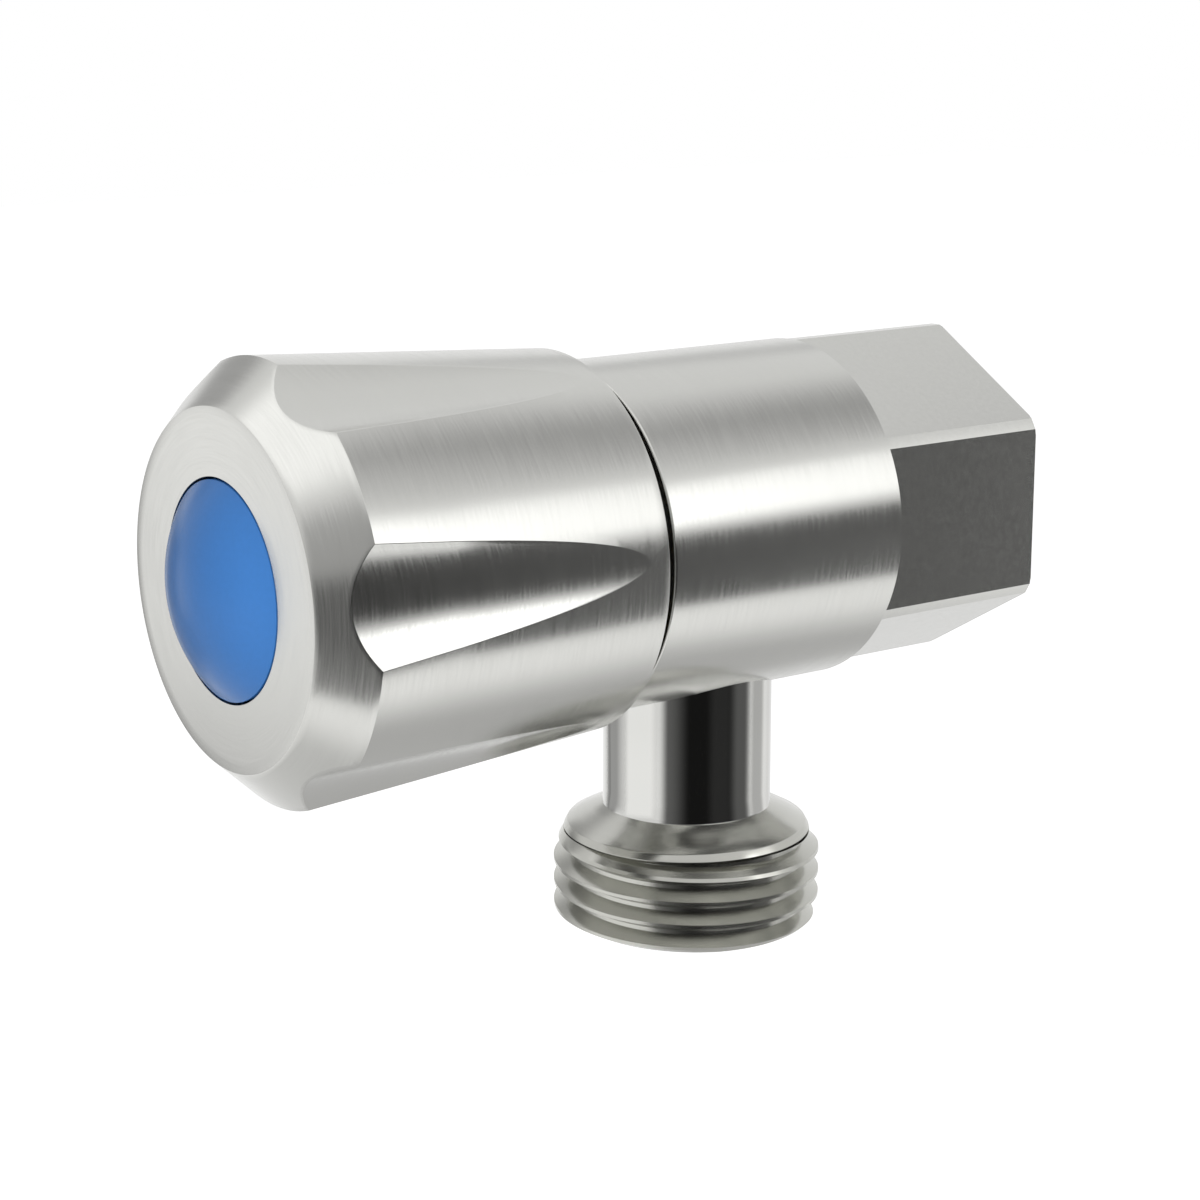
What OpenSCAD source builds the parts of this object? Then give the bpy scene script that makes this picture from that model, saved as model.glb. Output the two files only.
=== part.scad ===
// Cistern tap: a quarter-turn ceramic-disc stop valve in turned stainless steel.
// The origin is the centre of the inlet's rear face. The tap's axis runs along Y with the knob
// towards -Y, and the outlet points down.

/* [Body] */
// Diameter of the turned body
body_d = 26.5; // [26:0.1:28]
// Length of the body along the tap's axis
body_len = 36.7; // [35.5:0.1:38]
// Milled hexagon across its flats
hex_af = 23.4; // [22.8:0.1:24.4]
// Length of the milled hexagon
hex_len = 15.3; // [12:0.1:17]
// Edge break on turned steel
edge_break = 0.1; // [0.05:0.05:0.5]
// Diameter of the chamber round the headwork
chamber_d = 18.4; // [17.6:0.1:18.8]
// Diameter of the passage through the seat web
passage_d = 9.2; // [8:0.1:9.6]

/* [Inlet] */
// Minor diameter of the inlet thread
inlet_thread_d = 18.63; // [18.3:0.01:18.9]
// Depth of the inlet thread
inlet_thread_len = 13; // [11:0.1:14]
// Countersink at the inlet's mouth
inlet_lead = 1.2; // [0.5:0.1:1.4]

/* [Outlet] */
// Distance from the body's front face back to the outlet's axis
outlet_from_front = 11.3; // [10.8:0.1:11.8]
// Diameter of the polished neck
neck_d = 13.2; // [12.6:0.1:14]
// Distance from the tap's axis down to the neck's end
neck_drop = 22.4; // [18:0.1:30]
// Diameter of the collar's rim at its lower edge
collar_d = 19.36; // [18.6:0.02:20.4]
// Diameter of the collar's rim where the cone meets it
collar_top_d = 19; // [18.2:0.1:20]
// Height of the collar's cone
collar_cone = 1.5; // [1:0.1:2.5]
// Height of the collar's rim
collar_rim = 0.5; // [0.3:0.1:1.5]
// Diameter of the groove above the outlet thread
relief_d = 18.4; // [17.8:0.1:18.6]
// Height of the groove above the outlet thread
relief_len = 0.5; // [0.3:0.1:1]
// Major diameter of the outlet thread
outlet_thread_d = 20.95; // [20.7:0.01:21]
// Length of the outlet thread with its end chamfer
outlet_thread_len = 6.6; // [5:0.1:10]
// Chamfer at the thread's end
outlet_lead = 0.5; // [0.3:0.1:1.2]
// Height of the taper at the thread's top
run_in_len = 1.2; // [0.5:0.1:2]
// How far that taper falls below the thread's crests
run_in_depth = 0.7; // [0.3:0.1:0.8]
// Diameter of the outlet's waterway
outlet_bore_d = 9; // [8:0.1:9.2]
// Diameter of the spigot brazed into the body
spigot_d = 10.6; // [10.2:0.1:10.8]

/* [Knob] */
// Gap between the body's front face and the knob
knob_gap = 1.25; // [0.8:0.05:2]
// Length of the knob
knob_len = 27.8; // [26:0.1:32]
// Diameter of the knob beside the body
knob_back_d = 28.7; // [28:0.1:30]
// Largest diameter of the knob, where the front cone starts
knob_front_d = 31.8; // [31:0.1:34]
// Diameter of the knob's flat face
knob_face_d = 25.5; // [23:0.1:28]
// Length of the front cone
cone_len = 3.4; // [2:0.1:4]
// Number of flutes
flutes = 6; // [4:1:8]
// Diameter of the cutter that mills a flute
flute_d = 23; // [18:0.5:28]
// Depth of a flute where the front cone starts
flute_depth = 1.35; // [0.8:0.05:1.5]
// Depth left in a flute at the knob's back, where it runs out
flute_runout = 0.06; // [0.04:0.01:0.3]
// Turn of the first flute from the horizontal, in degrees
flute_turn = 4.9; // [0:0.1:30]
// Bore of the knob's skirt, which covers the headwork's hexagon
skirt_bore_d = 24.4; // [24:0.1:25]
// Steel between the spline insert and the button's recess
knob_web = 1.7; // [1.2:0.1:2.5]
// Diameter of the button's recess
recess_d = 15.8; // [15:0.1:17]
// Depth of the button's recess
recess_depth = 4.6; // [4:0.1:5]

/* [Button] */
// Radial gap between the button and its recess
button_gap = 0.18; // [0.1:0.01:0.3]
// Height of the button's dome above the knob's face
button_rise = 2.8; // [1.5:0.1:3.5]
// Wall of the button
button_wall = 1.2; // [0.8:0.1:1.6]
// Radial height of the snap bead round the button
bead_h = 0.4; // [0.25:0.05:0.5]
// Width of a slot in the button's skirt
button_slot = 1.5; // [1:0.1:2]
// Depth of a slot in the button's skirt
button_slot_len = 2.9; // [2:0.1:3.2]

/* [Headwork] */
// Distance from the body's front face back to the valve seat
headwork_reach = 19.7; // [19.2:0.1:20.2]
// Outer diameter of the barrel that holds the discs
barrel_d = 16; // [15.6:0.1:16.6]
// Bore of the barrel
barrel_bore_d = 13.8; // [13.4:0.1:14]
// Pitch diameter of the thread into the body
headwork_thread_d = 19.8; // [19.5:0.1:20]
// Length of the thread into the body
headwork_thread_len = 4.6; // [4.2:0.1:4.8]
// Depth of the relief beside that thread, where the ring sits
headwork_relief = 0.4; // [0.3:0.05:0.5]
// Diameter of the round collar that seats on the body
headwork_collar_d = 23; // [22.4:0.1:23.4]
// Thickness of the round collar
headwork_collar_t = 1; // [0.8:0.1:1.5]
// Headwork's hexagon across its flats
headwork_af = 19; // [18:0.5:20]
// Height of the headwork's hexagon
headwork_hex_h = 3.8; // [3:0.1:5]
// Radius that the corner chamfer leaves outside the hexagon's flats
headwork_corner = 0.3; // [0.1:0.1:0.8]
// Diameter of the headwork's neck
headwork_neck_d = 15.2; // [14.8:0.1:17]
// Length of the headwork's neck
headwork_neck_len = 6.5; // [6:0.1:7]
// Width of a window in the barrel
window_w = 8.4; // [6:0.1:9]

/* [Spindle] */
// Diameter of the spindle's shaft
shaft_d = 9.5; // [9.2:0.1:9.8]
// Thickness of the spindle's flange
flange_t = 1.6; // [1.2:0.1:2]
// Length of the driver between disc and flange
driver_len = 4; // [3.6:0.1:4.4]
// Thickness of the driver
driver_w = 4; // [3.5:0.1:4.4]
// Width of the tongue that turns the moving disc
tongue_w = 3; // [2.6:0.1:3.4]
// Height of the tongue
tongue_h = 1.2; // [0.8:0.1:1.5]
// Number of spline teeth
spline_teeth = 20; // [18:1:24]
// Outer diameter of the splines
spline_d = 8; // [7.8:0.1:8.4]
// Height of a spline tooth
spline_h = 0.4; // [0.3:0.05:0.5]
// Length of the splined end
spline_len = 8.2; // [7.6:0.1:8.4]
// Chamfer at each end of the splines
spline_lead = 0.5; // [0.3:0.1:0.8]
// Depth of the circlip's groove
clip_groove_h = 0.55; // [0.4:0.05:0.7]
// Angle that the spindle turns between its stops
turn_angle = 90; // [80:1:95]
// Width of the stop lug, in degrees
lug_angle = 80; // [60:1:90]
// Diameter over the stop lug
lug_d = 12.4; // [12:0.1:12.8]
// Height of the stop lug
lug_h = 2; // [1.5:0.1:2.5]
// Free angle between the lug and each stop, in degrees
lug_play = 1; // [0.5:0.5:2]

/* [Discs and seals] */
// Thickness of each ceramic disc
disc_t = 2.6; // [2.3:0.1:2.9]
// Inner radius of a disc's waterway
port_in_r = 2; // [1.8:0.1:2.4]
// Outer radius of a disc's waterway
port_out_r = 5; // [4.6:0.1:5.1]
// Half the angle of a disc's waterway, in degrees
port_half = 38; // [30:1:40]
// Width of the keys that hold the fixed disc
key_w = 3; // [2.5:0.1:4]
// Length of the rubber seat seal
seal_len = 3.2; // [3:0.1:3.4]
// Part of the seat seal that stands out of the barrel
seal_stand = 1.2; // [1:0.1:1.4]
// Inner diameter of the seat seal
seal_bore_d = 11.4; // [11.2:0.1:11.8]
// Wall of the support ring inside the seat seal
support_t = 0.6; // [0.4:0.05:0.8]
// Thickness of the thrust washer
thrust_t = 0.6; // [0.4:0.1:0.8]
// Cord diameter of the two rings on the spindle
shaft_ring_t = 1.26; // [1:0.02:1.4]
// Distance between the two rings on the spindle
shaft_ring_pitch = 5; // [3.5:0.1:5.2]
// Cord diameter of the ring under the headwork's collar
mouth_ring_t = 1.46; // [1.2:0.02:1.5]
// Thickness of the circlip
clip_t = 0.7; // [0.6:0.1:0.9]
// Radial width of the circlip
clip_w = 1.6; // [1.2:0.1:1.9]
// Opening of the circlip, in degrees
clip_opening = 60; // [40:5:90]

/* [Knob fixing] */
// Outer diameter of the spline insert
insert_d = 12; // [11.4:0.1:13]
// Length of the spline insert
insert_len = 8.4; // [8:0.1:8.6]
// Diameter of the screw's shank
screw_d = 4; // [3.6:0.1:4.2]
// Length of the screw's shank
screw_len = 10; // [8:0.5:10.5]
// Diameter of the screw's head
screw_head_d = 6.8; // [6:0.1:7.4]
// Height of the screw's head
screw_head_h = 2.2; // [1.8:0.1:2.6]
// Hexagon socket across its flats
socket_af = 2.5; // [2:0.5:3]
// Depth of the hexagon socket
socket_h = 1.3; // [1:0.1:1.5]
// Outer diameter of the spring washer
washer_d = 7.4; // [7:0.1:8]
// Thickness of the spring washer
washer_t = 0.8; // [0.5:0.1:1]
// Width of the slit in the spring washer
washer_slit = 0.6; // [0.3:0.1:1]

/* [Clearances] */
// Radial gap of a running fit
run_gap = 0.05; // [0.03:0.01:0.08]
// Gap of a seated or pressed fit
seat_gap = 0.02; // [0.01:0.005:0.03]
// Radial gap between the screw and the holes it passes through
pass_gap = 0.25; // [0.2:0.05:0.4]
// Gap between the spindle's end and the knob's web
end_gap = 0.4; // [0.2:0.05:0.6]
// Room along the axis that a ring or a window has beside its neighbours
side_gap = 0.2; // [0.1:0.05:0.3]
// Room that the outlet's spigot leaves round the headwork's thread
spigot_gap = 0.3; // [0.2:0.05:0.5]

/* [Hidden] */
$fn = 96;
// Overshoot of a cut past the surface that it opens
over = 1;

body_r = body_d / 2;
chamber_r = chamber_d / 2;
inlet_r = inlet_thread_d / 2;
neck_r = neck_d / 2;
collar_r = collar_d / 2;
collar_top_r = collar_top_d / 2;
outlet_r = outlet_thread_d / 2;
spigot_r = spigot_d / 2;
knob_back_r = knob_back_d / 2;
knob_front_r = knob_front_d / 2;
knob_face_r = knob_face_d / 2;
recess_r = recess_d / 2;
button_r = recess_r - button_gap;
barrel_bore_r = barrel_bore_d / 2;
headwork_thread_r = headwork_thread_d / 2;
shaft_r = shaft_d / 2;
shaft_bore_r = shaft_r + run_gap;
flange_r = barrel_bore_r - run_gap;
disc_r = barrel_bore_r - 2 * run_gap;
seal_bore_r = seal_bore_d / 2;
spline_r = spline_d / 2;
spline_root_r = spline_r - spline_h;
lug_r = lug_d / 2;
screw_r = screw_d / 2;

// Stations along the tap's axis, counted forward from the rear face
outlet_at = body_len - outlet_from_front;
seat_at = body_len - headwork_reach;
barrel_at = seat_at + seal_stand;
fixed_at = seat_at + seal_len;
moving_at = fixed_at + disc_t + seat_gap;
driver_at = moving_at + disc_t + seat_gap;
flange_at = driver_at + driver_len;
thrust_at = flange_at + flange_t + seat_gap;
shoulder_at = thrust_at + thrust_t + seat_gap;
mouth_pocket_len = mouth_ring_t + side_gap;
mouth_pocket_at = body_len - mouth_pocket_len;
thread_at = mouth_pocket_at - headwork_thread_len;
hex_at = body_len + headwork_collar_t;
neck_at = hex_at + headwork_hex_h;
stop_at = neck_at + headwork_neck_len - lug_h;
neck_end = neck_at + headwork_neck_len;
clip_at = neck_end + run_gap;
knob_at = body_len + knob_gap;
face_at = knob_at + knob_len;
cone_at = face_at - cone_len;
recess_at = face_at - recess_depth;
insert_end = recess_at - knob_web;
cavity_end = insert_end - insert_len;
spindle_end = insert_end - end_gap;
spline_at = spindle_end - spline_len;

// Rings and their grooves
shaft_groove_r = shaft_bore_r - shaft_ring_t - 2 * seat_gap;
shaft_groove_w = 1.5 * shaft_ring_t;
front_ring_at = stop_at - 2 * shaft_ring_t;
rear_ring_at = front_ring_at - shaft_ring_pitch;
mouth_groove_r = headwork_thread_r - headwork_relief;
mouth_pocket_r = mouth_groove_r + mouth_ring_t + 2 * seat_gap;
clip_groove_r = shaft_r - clip_groove_h;

// Steps down the outlet from the tap's axis
cone_end = neck_drop + collar_cone;
rim_end = cone_end + collar_rim;
relief_end = rim_end + relief_len;
run_in_end = relief_end + run_in_len;
outlet_end = rim_end + outlet_thread_len + relief_len;
spigot_top = headwork_thread_r + run_gap + spigot_gap;

// The button
dome_r = (button_r * button_r + button_rise * button_rise) / (2 * button_rise);
bead_at = recess_at + 0.5 * recess_depth;

// Shares of a spline's pitch that its space and each flank take
spline_space = 0.3;
spline_flank = 0.12;

// The first side of the stop lug, with the tap closed
lug_from = 90 - lug_angle / 2;

// Turns a shape built along +Z so that its Z runs forward along the tap's axis.
module forward() {
    rotate([90, 0, 0]) children();
}

// Turns a shape built along +Z so that its Z runs down the outlet's axis.
module down_outlet() {
    translate([0, -outlet_at, 0]) rotate([180, 0, 0]) children();
}

// A length of round stock between two stations.
module round_bar(r, from, to) {
    translate([0, 0, from]) cylinder(r = r, h = to - from);
}

// A cone between two stations.
module taper(r_from, r_to, from, to) {
    translate([0, 0, from]) cylinder(r1 = r_from, r2 = r_to, h = to - from);
}

// A hexagon between two stations, with flats to the left and right.
module hexagon(af, from, to) {
    translate([0, 0, from]) rotate([0, 0, 30]) cylinder(d = af / cos(30), h = to - from, $fn = 6);
}

// A ring of round cord.
module o_ring(inner_r, cord, at) {
    translate([0, 0, at]) rotate_extrude() translate([inner_r + cord / 2, 0]) circle(d = cord);
}

// A piece of a ring that spans an angle.
module ring_sector(r_in, r_out, from, to, start, angle) {
    translate([0, 0, from]) rotate([0, 0, start])
        rotate_extrude(angle = angle) translate([r_in, 0]) square([r_out - r_in, to - from]);
}

// The two waterways of a disc, centred on the given direction and the one opposite.
module ports(from, to, direction) {
    for (side = [0, 180])
        ring_sector(port_in_r, port_out_r, from, to, direction + side - port_half, 2 * port_half);
}

// The cross-section of the splines, wider by the given gap.
module spline_outline(gap) {
    step = 360 / spline_teeth;
    root = spline_root_r + gap;
    tip = spline_r + gap;
    tooth = [[root, 0], [root, spline_space], [tip, spline_space + spline_flank], [tip, 1 - spline_flank]];
    polygon([for (i = [0 : spline_teeth - 1], p = tooth)
        p[0] * [cos((i + p[1]) * step), sin((i + p[1]) * step)]]);
}

// Removes everything outside the hexagon over its length.
module hexagon_milling() {
    difference() {
        round_bar(body_r + over, -over, hex_len);
        hexagon(hex_af, -2 * over, hex_len + over);
    }
}

module valve_body() {
    mouth_r = headwork_thread_r + run_gap;
    color("silver") forward() difference() {
        union() {
            taper(body_r - edge_break, body_r, 0, edge_break);
            round_bar(body_r, edge_break, body_len - edge_break);
            taper(body_r, body_r - edge_break, body_len - edge_break, body_len);
        }
        hexagon_milling();
        taper(inlet_r + inlet_lead + over, inlet_r, -over, inlet_lead);
        round_bar(inlet_r, 0, inlet_thread_len);
        round_bar(passage_d / 2, inlet_thread_len - over, seat_at + over);
        round_bar(chamber_r, seat_at, thread_at + over);
        round_bar(mouth_r, thread_at, body_len);
        round_bar(mouth_pocket_r, mouth_pocket_at, body_len + over);
        translate([0, 0, outlet_at]) rotate([90, 0, 0])
            cylinder(r = spigot_r + seat_gap, h = body_r + over);
    }
}

module outlet_nipple() {
    color("gainsboro") difference() {
        union() {
            difference() {
                down_outlet() round_bar(neck_r, spigot_top, neck_drop);
                forward() round_bar(body_r + seat_gap, 0, body_len);
            }
            down_outlet() {
                round_bar(spigot_r, spigot_top, neck_drop);
                taper(neck_r, collar_top_r, neck_drop, cone_end);
                taper(collar_top_r, collar_r, cone_end, rim_end);
                round_bar(relief_d / 2, rim_end, relief_end);
                taper(outlet_r - run_in_depth, outlet_r, relief_end, run_in_end);
                round_bar(outlet_r, run_in_end, outlet_end - outlet_lead);
                taper(outlet_r, outlet_r - outlet_lead, outlet_end - outlet_lead, outlet_end);
            }
        }
        down_outlet() round_bar(outlet_bore_d / 2, 0, outlet_end + over);
    }
}

module headwork_body() {
    window_from = driver_at + side_gap;
    corner_r = headwork_af / 2 + headwork_corner;
    color("goldenrod") forward() difference() {
        union() {
            round_bar(barrel_d / 2, barrel_at, thread_at + over);
            round_bar(headwork_thread_r, thread_at + side_gap, mouth_pocket_at);
            round_bar(mouth_groove_r, mouth_pocket_at, body_len);
            round_bar(headwork_collar_d / 2, body_len, hex_at);
            intersection() {
                hexagon(headwork_af, hex_at, neck_at);
                taper(corner_r + headwork_hex_h, corner_r, hex_at, neck_at);
            }
            round_bar(headwork_neck_d / 2, neck_at - over, neck_end);
        }
        round_bar(barrel_bore_r, barrel_at - over, shoulder_at);
        round_bar(shaft_bore_r, shoulder_at - over, neck_end + over);
        ring_sector(0, lug_r + 2 * run_gap, stop_at, neck_end + over,
            lug_from - lug_play, lug_angle + turn_angle + 2 * lug_play);
        translate([-window_w / 2, -barrel_d, window_from])
            cube([window_w, 2 * barrel_d, flange_at - window_from]);
        translate([-barrel_d, -key_w / 2 - 2 * run_gap, barrel_at - over])
            cube([2 * barrel_d, key_w + 4 * run_gap, moving_at - barrel_at + over]);
    }
}

module headwork_o_ring() {
    color("dimgray") forward()
        o_ring(mouth_groove_r + seat_gap, mouth_ring_t, body_len - mouth_pocket_len / 2);
}

module seat_seal() {
    color("dimgray") forward() difference() {
        union() {
            round_bar(barrel_d / 2, seat_at + seat_gap, barrel_at - seat_gap);
            round_bar(disc_r, seat_at + seat_gap, fixed_at - seat_gap);
        }
        round_bar(seal_bore_r, seat_at - over, fixed_at + over);
    }
}

module seal_support_ring() {
    ring_r = seal_bore_r - seat_gap;
    color("ivory") forward() difference() {
        round_bar(ring_r, seat_at + seat_gap, fixed_at - side_gap);
        round_bar(ring_r - support_t, seat_at - over, fixed_at + over);
    }
}

module fixed_disc() {
    color("white") forward() difference() {
        union() {
            round_bar(disc_r, fixed_at, fixed_at + disc_t);
            intersection() {
                round_bar(barrel_d / 2 - 2 * run_gap, fixed_at, fixed_at + disc_t);
                translate([-barrel_d, -key_w / 2, fixed_at]) cube([2 * barrel_d, key_w, disc_t]);
            }
        }
        ports(fixed_at - over, fixed_at + disc_t + over, 90);
    }
}

module moving_disc() {
    slot_w = tongue_w + 2 * run_gap;
    slot_h = tongue_h + run_gap;
    color("whitesmoke") forward() difference() {
        round_bar(disc_r, moving_at, moving_at + disc_t);
        ports(moving_at - over, moving_at + disc_t + over, 0);
        translate([-slot_w / 2, -disc_r - over, moving_at + disc_t - slot_h])
            cube([slot_w, 2 * disc_r + 2 * over, slot_h + over]);
    }
}

module spindle() {
    color("khaki") forward() difference() {
        union() {
            intersection() {
                round_bar(flange_r - 2 * run_gap, driver_at - tongue_h, flange_at);
                union() {
                    translate([-driver_w / 2, -flange_r, driver_at])
                        cube([driver_w, 2 * flange_r, driver_len]);
                    translate([-tongue_w / 2, -flange_r, driver_at - tongue_h])
                        cube([tongue_w, 2 * flange_r, tongue_h]);
                }
            }
            round_bar(flange_r, flange_at, flange_at + flange_t);
            round_bar(shaft_r, flange_at, spline_at - spline_lead);
            taper(shaft_r, spline_root_r, spline_at - spline_lead, spline_at);
            intersection() {
                translate([0, 0, spline_at - over])
                    linear_extrude(spline_len + 2 * over) spline_outline(0);
                taper(spline_r - spline_lead + spline_len, spline_r - spline_lead,
                    spindle_end - spline_len, spindle_end);
            }
            ring_sector(shaft_r - over, lug_r, stop_at, neck_end, lug_from, lug_angle);
        }
        for (at = [rear_ring_at, front_ring_at]) spindle_groove(shaft_groove_r, at, shaft_groove_w);
        spindle_groove(clip_groove_r, clip_at + clip_t / 2, clip_t + 2 * seat_gap);
        round_bar(screw_r, recess_at + washer_t - screw_len - over, spindle_end + over);
    }
}

// A groove round the spindle, centred on a station.
module spindle_groove(r, at, width) {
    difference() {
        round_bar(shaft_r + over, at - width / 2, at + width / 2);
        round_bar(r, at - width, at + width);
    }
}

module spindle_thrust_washer() {
    color("white") forward() difference() {
        round_bar(disc_r, thrust_at, thrust_at + thrust_t);
        round_bar(shaft_bore_r, thrust_at - over, thrust_at + thrust_t + over);
    }
}

module spindle_o_ring_rear() {
    color("dimgray") forward() o_ring(shaft_groove_r + seat_gap, shaft_ring_t, rear_ring_at);
}

module spindle_o_ring_front() {
    color("dimgray") forward() o_ring(shaft_groove_r + seat_gap, shaft_ring_t, front_ring_at);
}

module spindle_circlip() {
    ring_r = clip_groove_r + seat_gap;
    color("darkgray") forward() difference() {
        round_bar(ring_r + clip_w, clip_at, clip_at + clip_t);
        round_bar(ring_r, clip_at - over, clip_at + clip_t + over);
        ring_sector(0, ring_r + clip_w + over, clip_at - over, clip_at + clip_t + over,
            -90 - clip_opening / 2, clip_opening);
    }
}

// The turned outside of the knob.
module knob_blank() {
    taper(knob_back_r - edge_break, knob_back_r, knob_at, knob_at + edge_break);
    taper(knob_back_r, knob_front_r, knob_at + edge_break, cone_at);
    taper(knob_front_r, knob_face_r, cone_at, face_at);
}

// The flutes fade towards the body, where the knob's taper has almost run down to the cutter.
module knob_flutes() {
    front_floor = knob_front_r - flute_depth;
    back_floor = knob_back_r - flute_runout;
    tilt = atan((front_floor - back_floor) / (cone_at - knob_at));
    for (i = [0 : flutes - 1])
        rotate([0, 0, flute_turn + i * 360 / flutes])
            translate([front_floor + flute_d / 2 / cos(tilt), 0, cone_at]) rotate([0, tilt, 0])
                translate([0, 0, -1.5 * knob_len])
                    cylinder(d = flute_d, h = 1.5 * knob_len + 2 * cone_len);
}

// A V-shaped bead or groove round the button.
module snap_bead(r, h) {
    translate([0, 0, bead_at]) rotate_extrude()
        polygon([[r - over, -h - over], [r, -h], [r + h, 0], [r, h], [r - over, h + over]]);
}

module handle() {
    color("silver") forward() difference() {
        knob_blank();
        knob_flutes();
        round_bar(skirt_bore_d / 2, knob_at - over, cavity_end);
        round_bar(insert_d / 2, cavity_end - over, insert_end);
        round_bar(screw_r + pass_gap, insert_end - over, recess_at + over);
        round_bar(recess_r, recess_at, face_at + over);
        snap_bead(recess_r, bead_h);
    }
}

module handle_spline_insert() {
    color("ivory") forward() difference() {
        round_bar(insert_d / 2 - seat_gap, cavity_end, insert_end - seat_gap);
        translate([0, 0, cavity_end - over]) linear_extrude(insert_len + 2 * over)
            spline_outline(run_gap);
    }
}

module handle_screw() {
    head_at = recess_at + washer_t;
    head_end = head_at + screw_head_h;
    color("gray") forward() difference() {
        union() {
            round_bar(screw_r - seat_gap, head_at - screw_len, head_at + over);
            round_bar(screw_head_d / 2, head_at + seat_gap, head_end - edge_break);
            taper(screw_head_d / 2, screw_head_d / 2 - edge_break, head_end - edge_break, head_end);
        }
        hexagon(socket_af, head_end - socket_h, head_end + over);
    }
}

module handle_screw_washer() {
    color("darkgray") forward() difference() {
        round_bar(washer_d / 2, recess_at + seat_gap, recess_at + washer_t);
        round_bar(screw_r + pass_gap, recess_at - over, recess_at + washer_t + over);
        translate([0, -washer_slit / 2, recess_at - over])
            cube([washer_d, washer_slit, washer_t + 2 * over]);
    }
}

// A cap cut from a ball, with its rim at a station.
module dome(ball_r, rim_at, centre_at) {
    intersection() {
        translate([0, 0, centre_at]) sphere(r = ball_r);
        round_bar(ball_r, rim_at, centre_at + ball_r + over);
    }
}

module index_button() {
    ball_at = face_at + button_rise - dome_r;
    inner_r = dome_r - button_wall;
    bottom = recess_at + seat_gap;
    color("steelblue") forward() difference() {
        union() {
            round_bar(button_r, bottom, face_at);
            dome(dome_r, face_at, ball_at);
            snap_bead(button_r - seat_gap, bead_h);
        }
        intersection() {
            round_bar(button_r - button_wall, bottom - over, face_at + button_rise);
            translate([0, 0, ball_at]) sphere(r = inner_r);
        }
        round_bar(button_r - button_wall, bottom - over, face_at - button_wall);
        for (turn = [0, 90]) rotate([0, 0, turn])
            translate([-body_r, -button_slot / 2, bottom - over])
                cube([2 * body_r, button_slot, button_slot_len + over]);
    }
}

valve_body();
outlet_nipple();
headwork_body();
headwork_o_ring();
seat_seal();
seal_support_ring();
fixed_disc();
moving_disc();
spindle();
spindle_thrust_washer();
spindle_o_ring_rear();
spindle_o_ring_front();
spindle_circlip();
handle();
handle_spline_insert();
handle_screw();
handle_screw_washer();
index_button();
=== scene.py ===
from math import acos, atan2, copysign, cos, degrees, floor, hypot, pi, radians, sin, sqrt, tan

import bpy
from mathutils import Matrix, Vector


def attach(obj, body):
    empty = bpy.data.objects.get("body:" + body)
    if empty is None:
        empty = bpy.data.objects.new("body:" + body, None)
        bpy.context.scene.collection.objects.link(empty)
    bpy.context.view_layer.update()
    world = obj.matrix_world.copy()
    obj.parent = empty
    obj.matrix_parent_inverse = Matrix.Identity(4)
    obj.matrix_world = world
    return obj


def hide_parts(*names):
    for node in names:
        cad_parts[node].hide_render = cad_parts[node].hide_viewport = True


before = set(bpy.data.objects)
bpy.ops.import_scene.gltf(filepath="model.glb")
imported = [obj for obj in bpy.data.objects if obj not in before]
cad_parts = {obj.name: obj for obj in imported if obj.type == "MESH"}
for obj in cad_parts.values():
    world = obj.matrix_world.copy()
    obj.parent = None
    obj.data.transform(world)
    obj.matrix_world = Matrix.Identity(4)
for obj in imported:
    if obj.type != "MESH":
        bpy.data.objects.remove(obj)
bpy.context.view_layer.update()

mm = 0.001
print("frame loaded:", len(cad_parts), "nodes")

# Millimetres
closest = 0.001  # the shortest merge distance that Blender takes
nearEnough = 0.002  # a point this near to a ring lies on it
margin = 0.01  # a point farther than this from a surface lies off it
beyond = 1  # how far a cutter reaches past what it cuts
alongUnit = 100  # length of profile to one unit of the turning map


# Small helpers for working in edit mode

def only(piece):
    bpy.ops.object.select_all(action="DESELECT")
    piece.select_set(True)
    bpy.context.view_layer.objects.active = piece


def keepPlace():
    bpy.ops.object.transform_apply(location=True, rotation=True, scale=True)


def edit(piece, mode="EDGE"):
    only(piece)
    bpy.ops.object.mode_set(mode="EDIT")
    bpy.ops.mesh.select_mode(type=mode)
    bpy.ops.mesh.select_all(action="DESELECT")


def done():
    bpy.ops.object.mode_set(mode="OBJECT")


def finishModifier(piece, kind, **settings):
    only(piece)
    modifier = piece.modifiers.new(kind.title(), kind)
    for key, value in settings.items():
        setattr(modifier, key, value)
    bpy.ops.object.modifier_apply(modifier=modifier.name)


def combine(piece, other, operation):
    finishModifier(piece, "BOOLEAN", operation=operation, solver="EXACT", object=other)
    bpy.data.objects.remove(other)


# Stations run forward along the tap's axis, or down the outlet's own axis

outletAt = 25.4  # from the rear face to the outlet's axis


def onAxis(station, down):
    if down:
        return Vector((0, -outletAt, -station)) * mm
    return Vector((0, -station, 0)) * mm


def polar(point, down):
    if down:
        x, y, station = point.x / mm, point.y / mm + outletAt, -point.z / mm
    else:
        x, y, station = point.x / mm, point.z / mm, -point.y / mm
    return station, hypot(x, y), degrees(atan2(y, x))


def fromPolar(station, radius, angle, down):
    x = radius * cos(radians(angle))
    y = radius * sin(radians(angle))
    if down:
        return Vector((x, y - outletAt, -station)) * mm
    return Vector((x, -station, y)) * mm


def middleOfSixth(angle):
    # The hexagon's flats and the knob's flutes both repeat every 60 degrees
    return floor((angle + 30) / 60) * 60


# Turned pieces: a circle is extruded ring by ring along a profile of stations and radii

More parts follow.
